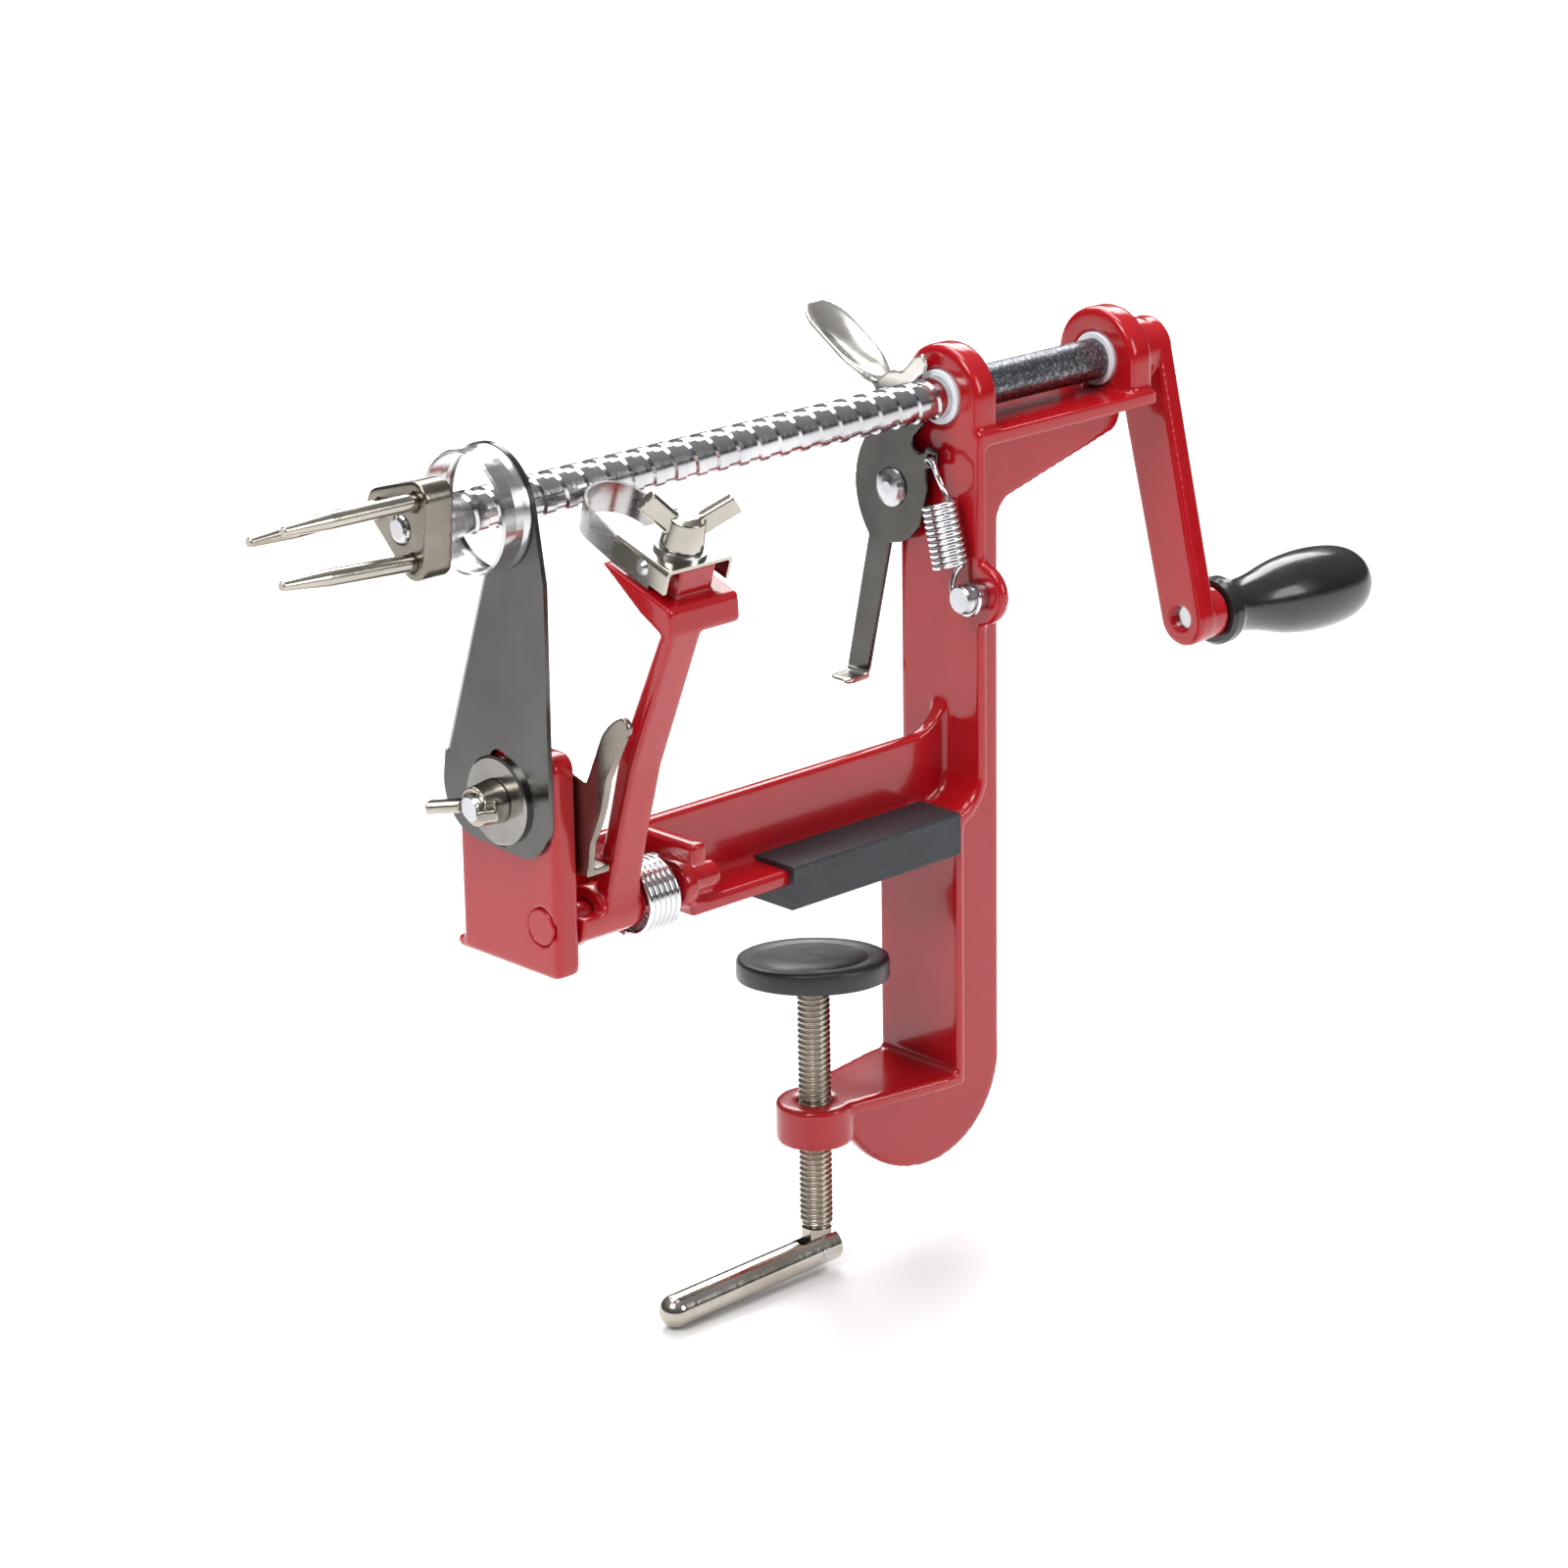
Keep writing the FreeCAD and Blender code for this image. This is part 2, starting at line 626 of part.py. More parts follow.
def corer_wing_nut():
    nut = wing_hub(5.2, 4.4, 6.0, stud_radius + running)
    nut.rotate(Vector(0, 0, 0), Z_DIR, 97)
    nut.rotate(Vector(0, 0, 0), Y_DIR, -90)
    nut.translate(Vector(corer_plate_x - 1.45, 0, stud_z))
    return nut


# ---------------------------------------------------------------- peeler arm
def peeler_arm():
    """Cast arm: hub on the pivot pin, bent bar and wedge-shaped head."""
    hub = rod_x(hub_radius, -85.2, -66.8, pin_y, pin_z)
    hub = hub.cut(box(-86, -79.5, pin_y - 8, pin_y + 8, pin_z + 1.2, pin_z + 8))
    bar = prism_yz((-16.9, pin_z), [
        (-17.2, 19.0),
        (-21.4, 34.8),
        (-25.6, 49.3),
        (-40.0, 83.4),
        (-36.6, 84.6),
        (-21.4, 52.6),
        (-16.9, 36.0),
        (-12.2, 19.4),
        (-8.0, pin_z),
    ], arm_x, arm_x + arm_width)
    bar = rounded(bar, 1.0, lambda edge, m: edge.BoundBox.XLength < 0.01 and m.z > 24 and m.z < 82)
    wedge = prism_yz((head_y, head_z), [
        (-39.9, 83.3),
        ((-38.9, 82.3), (-36.5, 82.9)),
        (-30.0, 86.4),
        (-18.3, 95.2),
        (-18.6, 95.7),
    ], head_x, head_x + head_length)
    wedge = rounded(wedge, 1.2, lambda edge, m: m.y < -38 and m.z > 84 and edge.BoundBox.XLength > 5)
    guide = on_head(box(-73.6, -63.2, 3.0, 19.0, -0.6, 7.0))
    arm = fuse(hub, bar, wedge, guide)
    bore = rod_x(pin_radius + running, -90, -60, pin_y, pin_z)
    screw_hole = on_head(rod_z(2.5, 1.0, 12, blade_axis_x, wing_screw_s))
    return arm.cut([bore, screw_hole])


def pivot_pin():
    head = rod_x(4.2, end_plate_x - 0.2, end_plate_x + 3.0, pin_y, pin_z)
    head = rounded(head, 0.5, lambda edge, m: m.x < end_plate_x and edge.BoundBox.XLength < 0.01)
    return fuse(head, rod_x(pin_radius, end_plate_x + 1, -50.5, pin_y, pin_z))


def wire_run(radius, points):
    """Round wire along straight runs with a ball at each bend."""
    pieces = []
    for here, there in zip(points, points[1:]):
        run = there - here
        pieces.append(Part.makeCylinder(radius, run.Length, here, run))
    bends = [Part.makeSphere(radius, p) for p in points[1:-1]]
    return pieces + bends


def arm_spring():
    """Torsion spring on the pin: one leg under the stop bar, one behind the arm."""
    wire = 0.75
    mean = 7.95
    turns = 6.5
    pitch = 1.55
    start = Vector(-68.0, pin_y, pin_z)
    wound = coil(wire, mean, pitch, turns, start, X_DIR)
    left_end = start - Z_DIR * mean
    right_end = start + X_DIR * (pitch * turns) + Z_DIR * mean
    behind_arm = [left_end, Vector(-70.0, -4.0, 8.6), Vector(-72.6, -3.6, 16.0),
                  Vector(-73.0, -10.6, 24.6)]
    under_bar = [right_end, Vector(-55.8, -3.2, 17.6)]
    return fuse(wound, *(wire_run(wire, behind_arm) + wire_run(wire, under_bar)))


def blade_holder():
    """Inverted channel that clamps the peeling blade on the head."""
    outer = prism_xz((-77.9, 2.3), [
        (-77.9, 6.6),
        ((-77.5, 7.6), (-76.5, 8.0)),
        (-60.3, 8.0),
        ((-59.3, 7.6), (-58.9, 6.6)),
        (-58.9, 2.3),
        (-59.8, 2.3),
        (-59.8, 6.5),
        ((-60.0, 6.9), (-60.4, 7.1)),
        (-76.4, 7.1),
        ((-76.8, 6.9), (-77.0, 6.5)),
        (-77.0, 2.3),
    ], 2.7, 20.0)
    slot = box(blade_axis_x - 2.7, blade_axis_x + 2.7, wing_screw_s - 3, wing_screw_s + 3, 6, 9)
    rivets = [rod_x(1.2, x - 1.5, x + 1.5, 10.4, 5.0) for x in (-77.4, -59.4)]
    return on_head(outer.cut([slot] + rivets))


def peeling_blade():
    """Hoop of thin steel strip; its far bend is the cutting edge that meets the apple."""
    outer_r = 8.55
    thick = 0.7
    inner_r = outer_r - thick
    mid_x = blade_axis_x
    reach = hoop_end_s - outer_r
    start = 8.4
    hoop = prism_xy((mid_x - outer_r, start), [
        (mid_x - outer_r, reach),
        ((mid_x, reach + outer_r), (mid_x + outer_r, reach)),
        (mid_x + outer_r, start),
        (mid_x + inner_r, start),
        (mid_x + inner_r, reach),
        ((mid_x, reach + inner_r), (mid_x - inner_r, reach)),
        (mid_x - inner_r, start),
    ], 0.0, 11.0)
    side = prism_yz((start - 1, 0.4), [
        (20.0, 0.6),
        (hoop_end_s + 0.5, 2.2),
        (hoop_end_s + 0.5, 9.7),
        (20.6, 6.7),
        (start - 1, 6.2),
    ], mid_x - 12, mid_x + 12)
    holes = [rod_x(1.2, x - 1.5, x + 1.5, 10.4, 5.0) for x in (mid_x - 8.2, mid_x + 8.2)]
    return on_head(hoop.common(side).cut(holes))


def blade_rivets():
    pair = []
    for x0, side in ((-77.9, -1), (-58.9, 1)):
        shank = rod_x(1.2, min(x0, x0 - side * 1.6), max(x0, x0 - side * 1.6), 10.4, 5.0)
        head = Part.makeCone(1.9, 1.1, 0.8, Vector(x0, 10.4, 5.0), X_DIR * side)
        pair.append(on_head(fuse(shank, head)))
    return Part.makeCompound(pair)


def blade_washer():
    washer = rod_z(6.0, 8.0, 9.0, blade_axis_x, wing_screw_s)
    return on_head(washer.cut(rod_z(2.6, 7, 10, blade_axis_x, wing_screw_s)))


def blade_wing_screw():
    head = wing_hub(5.0, 4.2, 6.6, 0)
    dome = Part.makeCone(4.2, 2.6, 0.9, Vector(0, 0, 6.6))
    shank = rod_z(2.45, -7.5, 1.0)
    screw = fuse(head, dome, shank)
    screw.rotate(Vector(0, 0, 0), Z_DIR, 155)
    screw.translate(Vector(blade_axis_x, wing_screw_s, 9.05))
    return on_head(screw)


def arm_catch():
    """Stamped catch on the corer stud that holds the peeler arm swung out."""
    x0 = end_plate_x + end_plate_thickness + 0.1
    x1 = x0 + 1.6
    plate = prism_yz((0.0, stud_z + 8.0), [
        (-12.5, 49.4),
        (-19.3, 47.4),
        (-24.4, 58.6),
        ((-27.4, 62.4), (-31.6, 65.0)),
        ((-33.6, 63.4), (-32.6, 60.6)),
        (-26.6, 49.6),
        ((-24.2, 41.0), (-20.6, 33.6)),
        (-19.6, 27.2),
        (-12.4, 27.2),
        (-10.6, 33.6),
        (0.0, stud_z - 8.0),
        ((8.0, stud_z), (0.0, stud_z + 8.0)),
    ], x0, x1)
    tab = box(x0, x0 + 6.5, -19.2, -12.8, 25.6, 27.3)
    catch = fuse(plate, tab)
    return catch.cut(rod_x(stud_radius + running, x0 - 1, x1 + 1, 0, stud_z))


# ---------------------------------------------------------------- catch lever
def thumb_rest():
    """Dished paddle, bent over from the lever's plate, that the thumb presses."""
    strip = prism_yz((16.6, 106.6), [
        ((29.0, 114.4), (42.4, 123.0)),
        (41.7, 124.3),
        ((28.4, 115.7), (16.0, 108.0)),
    ], 36.7, 49.7)
    plan = prism_xy((lever_x, 15.0), [
        (lever_x - 0.2, 19.0),
        ((37.2, 24.0), (36.9, 29.0)),
        (36.9, 35.2),
        ((43.2, 42.2), (49.5, 35.2)),
        (49.5, 29.0),
        ((47.2, 20.5), (lever_x + lever_thickness, 15.0)),
    ], 100, 130)
    return strip.common(plan)


def catch_lever():
    """Stamped lever whose tooth rides in the screw's groove; thumb rest above, leg below."""
    x0 = lever_x
    x1 = lever_x + lever_thickness
    opening = 5.9
    plate = prism_yz((1.9, shaft_z + 5.6), [
        (1.0, 116.2),
        (2.4, 117.8),
        (4.6, 117.0),
        (8.9, 112.8),
        (13.0, 112.4),
        (17.2, 109.6),
        (20.4, 96.4),
        ((24.9, 84.6), (20.5, 71.3)),
        (28.4, 36.4),
        (21.4, 36.4),
        (13.4, 70.4),
        ((8.0, 72.0), (3.4, 76.2)),
        (0.7, 85.5),
        (1.4, 90.6),
        (-2.4, 91.2),
        (-2.4, 95.2),
        (1.0, 96.0),
        ((5.6, 96.4), (4.2, 98.6)),
        (2.0, 101.0),
        (1.9, shaft_z - 5.6),
        ((opening, shaft_z), (1.9, shaft_z + 5.6)),
    ], x0, x1)
    tooth = box(x0 + 0.2, x1 - 0.2, 4.52, opening + 0.8, shaft_z - 1.1, shaft_z + 1.1)
    foot = box(x0 - 6.6, x0 + 0.5, 21.4, 28.4, 34.6, 36.0)
    heel = box(x0, x1, 21.4, 28.4, 34.6, 36.6)
    lever = fuse(plate, tooth, foot, heel, thumb_rest())
    lever = rounded(lever, 2.4, lambda edge, m: abs(m.x - (x0 - 6.6)) < 0.01 and
                    edge.BoundBox.ZLength > 1.0 and edge.BoundBox.YLength < 0.01)
    return lever.cut([
        rod_x(2.5 + running, x0 - 1, x1 + 1, lever_y, lever_z),
        rod_x(1.25, x0 - 1, x1 + 1, -0.4, 93.2),
    ])


def lever_rivet():
    x0 = lever_x - 0.1
    head = turned([(x0 - 1.7, 1.6), (x0 - 1.3, 3.4), (x0 - 0.6, 4.6), (x0, 4.8)], lever_y, lever_z)
    shank = rod_x(2.5, x0 - 0.5, post_x + post_flange + 0.6, lever_y, lever_z)
    return fuse(head, shank)


def spring_pin():
    """Grooved pin on the post that the lever spring hooks on."""
    return turned([
        (36.3, 3.0), (36.8, 3.5), (38.3, 3.5), (38.6, 2.7), (40.0, 2.7), (40.3, 3.5),
        (post_x, 3.5), (post_x, 2.6), (post_x + 3.0, 2.6),
    ], anchor_y, anchor_z)


def lever_spring():
    """Close-wound extension spring with a hook at each end."""
    wire = 0.65
    mean = 3.8
    turns = 11
    x = 37.7
    top = Vector(x, -5.4, 84.0)
    foot = Vector(x, -9.2, 69.0)
    down = foot - top
    wound = coil(wire, mean, down.Length / turns, turns, top, down)
    spin = FreeCAD.Rotation(Z_DIR, down)
    first = top + spin.multVec(X_DIR) * mean
    last = foot + spin.multVec(X_DIR) * mean
    hole = Vector(lever_x + 0.7, -0.4, 93.2)
    upper = bent_wire(wire, [
        first,
        (Vector(x - 0.8, -6.6, 89.2), Vector(x - 0.2, -3.8, 92.8)),
        (Vector(x + 0.2, -2.3, 93.6), hole - X_DIR * 1.7),
        hole + X_DIR * 1.6,
    ])
    lower = bent_wire(wire, [
        last,
        (Vector(x + 1.7, -7.9, 62.4), Vector(x + 1.65, -12.2, 58.0)),
        (Vector(x + 1.65, -16.2, 60.1), Vector(x + 1.65, -16.5, 64.0)),
    ])
    return fuse(wound, upper, lower)


# ---------------------------------------------------------------- table clamp
def clamp_screw():
    thread = rod_z(clamp_screw_radius, clamp_screw_shoulder_z, clamp_screw_top_z)
    tang = box(-3.4, 3.4, -1.55, 1.55, tommy_z, clamp_screw_shoulder_z + 1)
    tang_end = rod_y(3.4, -1.55, 1.55, 0, tommy_z)
    screw = fuse(thread, tang, tang_end)
    return screw.cut([
        rod_y(1.5 + running, -3, 3, 0, tommy_z),
        rod_z(1.9, clamp_screw_top_z - 3.0, clamp_screw_top_z + 1),
    ])


def foot_rivet():
    """Ball-headed rivet in the screw's end on which the clamp foot tilts."""
    ball = Part.makeSphere(foot_ball_radius, Vector(0, 0, foot_ball_z))
    neck = rod_z(1.85, clamp_screw_top_z - 2.9, foot_ball_z)
    collar = rod_z(2.9, clamp_screw_top_z + 0.02, clamp_screw_top_z + 0.5)
    return fuse(ball, neck, collar)


def lean_foot(solid):
    solid.rotate(Vector(0, 0, foot_ball_z), foot_tilt_axis, foot_tilt)
    return solid


def clamp_foot():
    top = foot_ball_z + 3.4
    bottom = top - foot_thickness
    disc = rod_z(foot_radius, bottom, top)
    disc = rounded(disc, 0.9, lambda edge, m: abs(m.z - top) < 0.01)
    socket = Part.makeSphere(foot_ball_radius + running, Vector(0, 0, foot_ball_z))
    mouth = Part.makeCone(3.6, 2.6, 1.1, Vector(0, 0, bottom - 0.01))
    return lean_foot(disc.cut([socket, mouth]))


def tommy_bar():
    """Folding bar that turns the clamp screw, slotted at one end for the screw's tang."""
    length = 50.0
    bar = rod_x(tommy_radius, -length + tommy_radius, 4.8, 0, tommy_z)
    tip = Part.makeSphere(tommy_radius, Vector(-length + tommy_radius, 0, tommy_z))
    bar = fuse(bar, tip)
    slot = box(-6.6, 6.0, -1.7, 1.7, tommy_z - 6, tommy_z + 6)
    bar = bar.cut([slot, rod_y(1.5, -6, 6, 0, tommy_z)])
    bar.rotate(Vector(0, 0, tommy_z), Y_DIR, -1.5)
    return bar


def tommy_pin():
    return rod_y(1.5, -4.1, 4.1, 0, tommy_z)


# ---------------------------------------------------------------- all pieces
nodes = {
    "frame_casting": frame_casting(),
    "table_pad_outer": table_pad(pad_start_x, pad_joint_x),
    "table_pad_inner": table_pad(pad_joint_x, pad_end_x),
    "front_bush": bush(post_x),
    "rear_bush": bush(rear_lug_x),
    "feed_screw": feed_screw(),
    "crank_arm": crank_arm(),
    "crank_screw": crank_screw(),
    "handle_bolt": handle_bolt(),
    "handle_grip": handle_grip(),
    "fork_block": fork_block(),
    "corer_blade": corer_blade(),
    "corer_washer": corer_washer(),
    "corer_stud": corer_stud(),
    "corer_wing_nut": corer_wing_nut(),
    "arm_catch": arm_catch(),
    "peeler_arm": peeler_arm(),
    "pivot_pin": pivot_pin(),
    "arm_spring": arm_spring(),
    "blade_holder": blade_holder(),
    "peeling_blade": peeling_blade(),
    "blade_rivets": blade_rivets(),
    "blade_washer": blade_washer(),
    "blade_wing_screw": blade_wing_screw(),
    "catch_lever": catch_lever(),
    "lever_rivet": lever_rivet(),
    "spring_pin": spring_pin(),
    "lever_spring": lever_spring(),
    "clamp_screw": clamp_screw(),
    "foot_rivet": foot_rivet(),
    "clamp_foot": clamp_foot(),
    "tommy_bar": tommy_bar(),
    "tommy_pin": tommy_pin(),
}
for number, root in enumerate(tine_roots, start=1):
    nodes["fork_tine_%d" % number] = tine(root)

os.makedirs("parts", exist_ok=True)
for name, shape in nodes.items():
    shape.exportStep("parts/%s.step" % name)
    print("%-18s valid %s  solids %d  volume %.1f mm3" % (
        name, shape.isValid(), len(shape.Solids), shape.Volume))
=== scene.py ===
import json
import math

import bmesh
import bpy
from mathutils import Matrix, Vector


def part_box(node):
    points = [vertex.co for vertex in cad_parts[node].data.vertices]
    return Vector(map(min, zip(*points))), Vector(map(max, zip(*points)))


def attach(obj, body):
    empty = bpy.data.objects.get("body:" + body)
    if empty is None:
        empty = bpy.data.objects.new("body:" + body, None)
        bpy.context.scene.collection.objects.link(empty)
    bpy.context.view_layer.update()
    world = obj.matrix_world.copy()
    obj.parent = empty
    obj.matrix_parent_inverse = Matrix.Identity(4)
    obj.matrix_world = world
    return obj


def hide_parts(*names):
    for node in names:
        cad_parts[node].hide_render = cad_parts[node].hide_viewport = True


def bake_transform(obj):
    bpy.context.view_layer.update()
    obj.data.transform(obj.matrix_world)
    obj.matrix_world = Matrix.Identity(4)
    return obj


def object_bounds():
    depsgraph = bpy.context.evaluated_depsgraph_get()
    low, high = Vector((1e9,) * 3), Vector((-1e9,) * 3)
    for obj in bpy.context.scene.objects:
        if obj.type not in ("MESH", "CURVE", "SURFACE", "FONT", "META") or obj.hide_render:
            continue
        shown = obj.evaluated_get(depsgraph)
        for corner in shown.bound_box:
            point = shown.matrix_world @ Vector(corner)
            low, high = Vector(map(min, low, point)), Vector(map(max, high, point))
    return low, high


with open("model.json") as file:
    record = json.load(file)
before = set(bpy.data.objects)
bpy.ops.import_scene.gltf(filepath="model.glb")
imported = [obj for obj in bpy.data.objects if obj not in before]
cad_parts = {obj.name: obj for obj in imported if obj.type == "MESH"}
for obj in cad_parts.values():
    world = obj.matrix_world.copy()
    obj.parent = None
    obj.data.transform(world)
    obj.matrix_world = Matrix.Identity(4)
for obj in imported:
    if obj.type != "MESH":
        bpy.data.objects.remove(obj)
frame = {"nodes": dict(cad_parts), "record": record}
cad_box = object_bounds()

MM = 0.001
nodes = frame["nodes"]
scene = bpy.context.scene


# ---------------------------------------------------------------- materials
class Graph:
    """Small helper that adds and joins the nodes of one material."""

    def __init__(self, name):
        self.material = bpy.data.materials.new(name)
        self.material.use_nodes = True
        self.tree = self.material.node_tree
        self.tree.nodes.clear()
        self.output = self.add("ShaderNodeOutputMaterial")
        self.shader = self.add("ShaderNodeBsdfPrincipled")
        self.join(self.shader, "BSDF", self.output, "Surface")
        self.coords = self.add("ShaderNodeTexCoord")

    def add(self, kind, **values):
        node = self.tree.nodes.new(kind)
        for key, value in values.items():
            setattr(node, key, value)
        return node

    def join(self, a, out, b, into):
        self.tree.links.new(a.outputs[out], b.inputs[into])

    def noise(self, scale, stretch=(1, 1, 1), detail=4.0, rough=0.55):
        mapping = self.add("ShaderNodeMapping")
        mapping.inputs["Scale"].default_value = stretch
        self.join(self.coords, "Object", mapping, "Vector")
        texture = self.add("ShaderNodeTexNoise")
        texture.inputs["Scale"].default_value = scale
        texture.inputs["Detail"].default_value = detail
        texture.inputs["Roughness"].default_value = rough
        self.join(mapping, "Vector", texture, "Vector")
        return texture

    def ranged(self, source, out, low, high, to_low, to_high):
        ramp = self.add("ShaderNodeMapRange")
        ramp.inputs["From Min"].default_value = low
        ramp.inputs["From Max"].default_value = high
        ramp.inputs["To Min"].default_value = to_low
        ramp.inputs["To Max"].default_value = to_high
        self.join(source, out, ramp, "Value")
        return ramp

    def mix(self, factor, a, b):
        """Colour mix; a and b are colours or (node, output) pairs."""
        node = self.add("ShaderNodeMix", data_type="RGBA")
        self.tree.links.new(factor, node.inputs["Factor"])
        for value, socket in ((a, node.inputs[6]), (b, node.inputs[7])):
            if isinstance(value, bpy.types.NodeSocket):
                self.tree.links.new(value, socket)
            else:
                socket.default_value = (*value, 1.0)
        return node.outputs[2]

    def bumps(self, layers):
        """Stack bump maps; each layer is (height socket, distance in mm, strength)."""
        previous = None
        for height, distance, strength in layers:
            bump = self.add("ShaderNodeBump")
            bump.inputs["Distance"].default_value = distance * MM
            bump.inputs["Strength"].default_value = strength
            self.tree.links.new(height, bump.inputs["Height"])
            if previous is not None:
                self.join(previous, "Normal", bump, "Normal")
            previous = bump
        if previous is not None:
            self.join(previous, "Normal", self.shader, "Normal")

    def base(self, socket):
        self.tree.links.new(socket, self.shader.inputs["Base Color"])

    def set(self, **values):
        for key, value in values.items():
            self.shader.inputs[key.replace("_", " ")].default_value = value


def red_enamel():
    g = Graph("red_enamel")
    g.set(Metallic=0.0, IOR=1.45, Coat_Weight=0.35, Coat_Roughness=0.05)
    cloud = g.noise(34, detail=5)
    tone = g.ranged(cloud, "Fac", 0.3, 0.7, 0.0, 1.0)
    red = g.mix(tone.outputs[0], (0.375, 0.0040, 0.0085), (0.425, 0.0060, 0.0110))
    speck = g.noise(900, detail=2)
    dust = g.ranged(speck, "Fac", 0.74, 0.80, 0.0, 0.20)
    g.base(g.mix(dust.outputs[0], red, (0.62, 0.16, 0.15)))
    smear = g.noise(60, stretch=(1, 1, 2.4), detail=6)
    gloss = g.ranged(smear, "Fac", 0.3, 0.75, 0.13, 0.24)
    g.join(gloss, "Result", g.shader, "Roughness")
    flow = g.noise(130, detail=2)
    peel = g.noise(620, detail=3)
    g.bumps([(flow.outputs["Fac"], 0.10, 0.15), (peel.outputs["Fac"], 0.02, 0.20)])
    return g.material


def metal(name, base, tint, rough, stretch=(1, 1, 1), grain=900, grain_depth=0.012,
          pit_depth=0.0, cloud_scale=45, anisotropic=0.0):
    """Bare or plated metal with drifting tone, fine grain and light handling marks."""
    g = Graph(name)
    g.set(Metallic=1.0, Anisotropic=anisotropic)
    cloud = g.noise(cloud_scale, detail=5)
    tone = g.ranged(cloud, "Fac", 0.32, 0.68, 0.0, 1.0)
    g.base(g.mix(tone.outputs[0], base, tint))
    smear = g.noise(cloud_scale * 3, stretch=stretch, detail=6)
    gloss = g.ranged(smear, "Fac", 0.3, 0.72, rough[0], rough[1])
    g.join(gloss, "Result", g.shader, "Roughness")
    lines = g.noise(grain, stretch=stretch, detail=4)
    layers = [(lines.outputs["Fac"], grain_depth, 0.5)]
    if pit_depth:
        pits = g.noise(1500, detail=2)
        dents = g.ranged(pits, "Fac", 0.60, 0.70, 1.0, 0.0)
        layers.append((dents.outputs["Result"], pit_depth, 0.6))
    g.bumps(layers)
    return g.material


def along(g, axis, low, high):
    """Factor that goes from 0 to 1 between two places along an axis, in millimetres."""
    split = g.add("ShaderNodeSeparateXYZ")
    g.join(g.coords, "Object", split, "Vector")
    return g.ranged(split, axis, low * MM, high * MM, 0.0, 1.0)


def screw_steel():
    """Rolled, plated thread at the fork end and a darker drawn rod at the crank end."""
    g = Graph("screw_steel")
    g.set(Metallic=1.0)
    cloud = g.noise(70, detail=6)
    tone = g.ranged(cloud, "Fac", 0.35, 0.65, 0.0, 1.0)
    bright = g.mix(tone.outputs[0], (0.50, 0.50, 0.515), (0.64, 0.64, 0.645))
    speckle = g.noise(1300, detail=3)
    spots = g.ranged(speckle, "Fac", 0.50, 0.64, 0.0, 1.0)
    dark = g.mix(spots.outputs[0], (0.105, 0.112, 0.125), (0.34, 0.35, 0.37))
    rear = along(g, "X", 43.2, 44.6)
    g.base(g.mix(rear.outputs[0], bright, dark))
    rings = g.noise(55, stretch=(16, 1, 1), detail=6)
    smooth = g.ranged(rings, "Fac", 0.3, 0.7, 0.10, 0.22)
    worn = g.ranged(rings, "Fac", 0.3, 0.7, 0.28, 0.42)
    blend = g.add("ShaderNodeMix", data_type="FLOAT")
    g.join(rear, "Result", blend, "Factor")
    g.tree.links.new(smooth.outputs[0], blend.inputs[2])
    g.tree.links.new(worn.outputs[0], blend.inputs[3])
    g.tree.links.new(blend.outputs[0], g.shader.inputs["Roughness"])
    pits = g.noise(1500, detail=3)
    lathe = g.noise(260, stretch=(14, 1, 1), detail=3)
    g.bumps([(pits.outputs["Fac"], 0.035, 0.35), (lathe.outputs["Fac"], 0.02, 0.4)])
    return g.material


def corer_steel():
    """Plate below painted dark as a painted dark reflection, ring above painted bright as a painted
    reflection of the lights, ground slicing edge.
    """
    g = Graph("corer_steel")
    g.set(Metallic=1.0)
    cloud = g.noise(26, detail=4)
    tone = g.ranged(cloud, "Fac", 0.3, 0.7, 0.0, 1.0)
    # The plate colour is a painted dark reflection and the ring colour a painted bright reflection of the
    # lights, not the steel's own colours.
    dark_reflection_plate = g.mix(tone.outputs[0], (0.085, 0.083, 0.080), (0.130, 0.127, 0.123))
    ring = g.mix(tone.outputs[0], (0.60, 0.60, 0.60), (0.70, 0.70, 0.70))
    split = g.add("ShaderNodeSeparateXYZ")
    g.join(g.coords, "Object", split, "Vector")
    # Mask along X that puts the painted bright reflection on the ring.
    ring_reflection_mask = g.ranged(split, "X", -93.75 * MM, -94.3 * MM, 0.0, 1.0)
    g.base(g.mix(ring_reflection_mask.outputs[0], dark_reflection_plate, ring))
    brushed = g.noise(180, stretch=(1, 1, 14), detail=6)
    gloss = g.ranged(brushed, "Fac", 0.3, 0.7, 0.15, 0.27)
    g.join(gloss, "Result", g.shader, "Roughness")
    lines = g.noise(1400, stretch=(1, 1, 0.08), detail=3)
    g.bumps([(lines.outputs["Fac"], 0.008, 0.5)])
    return g.material


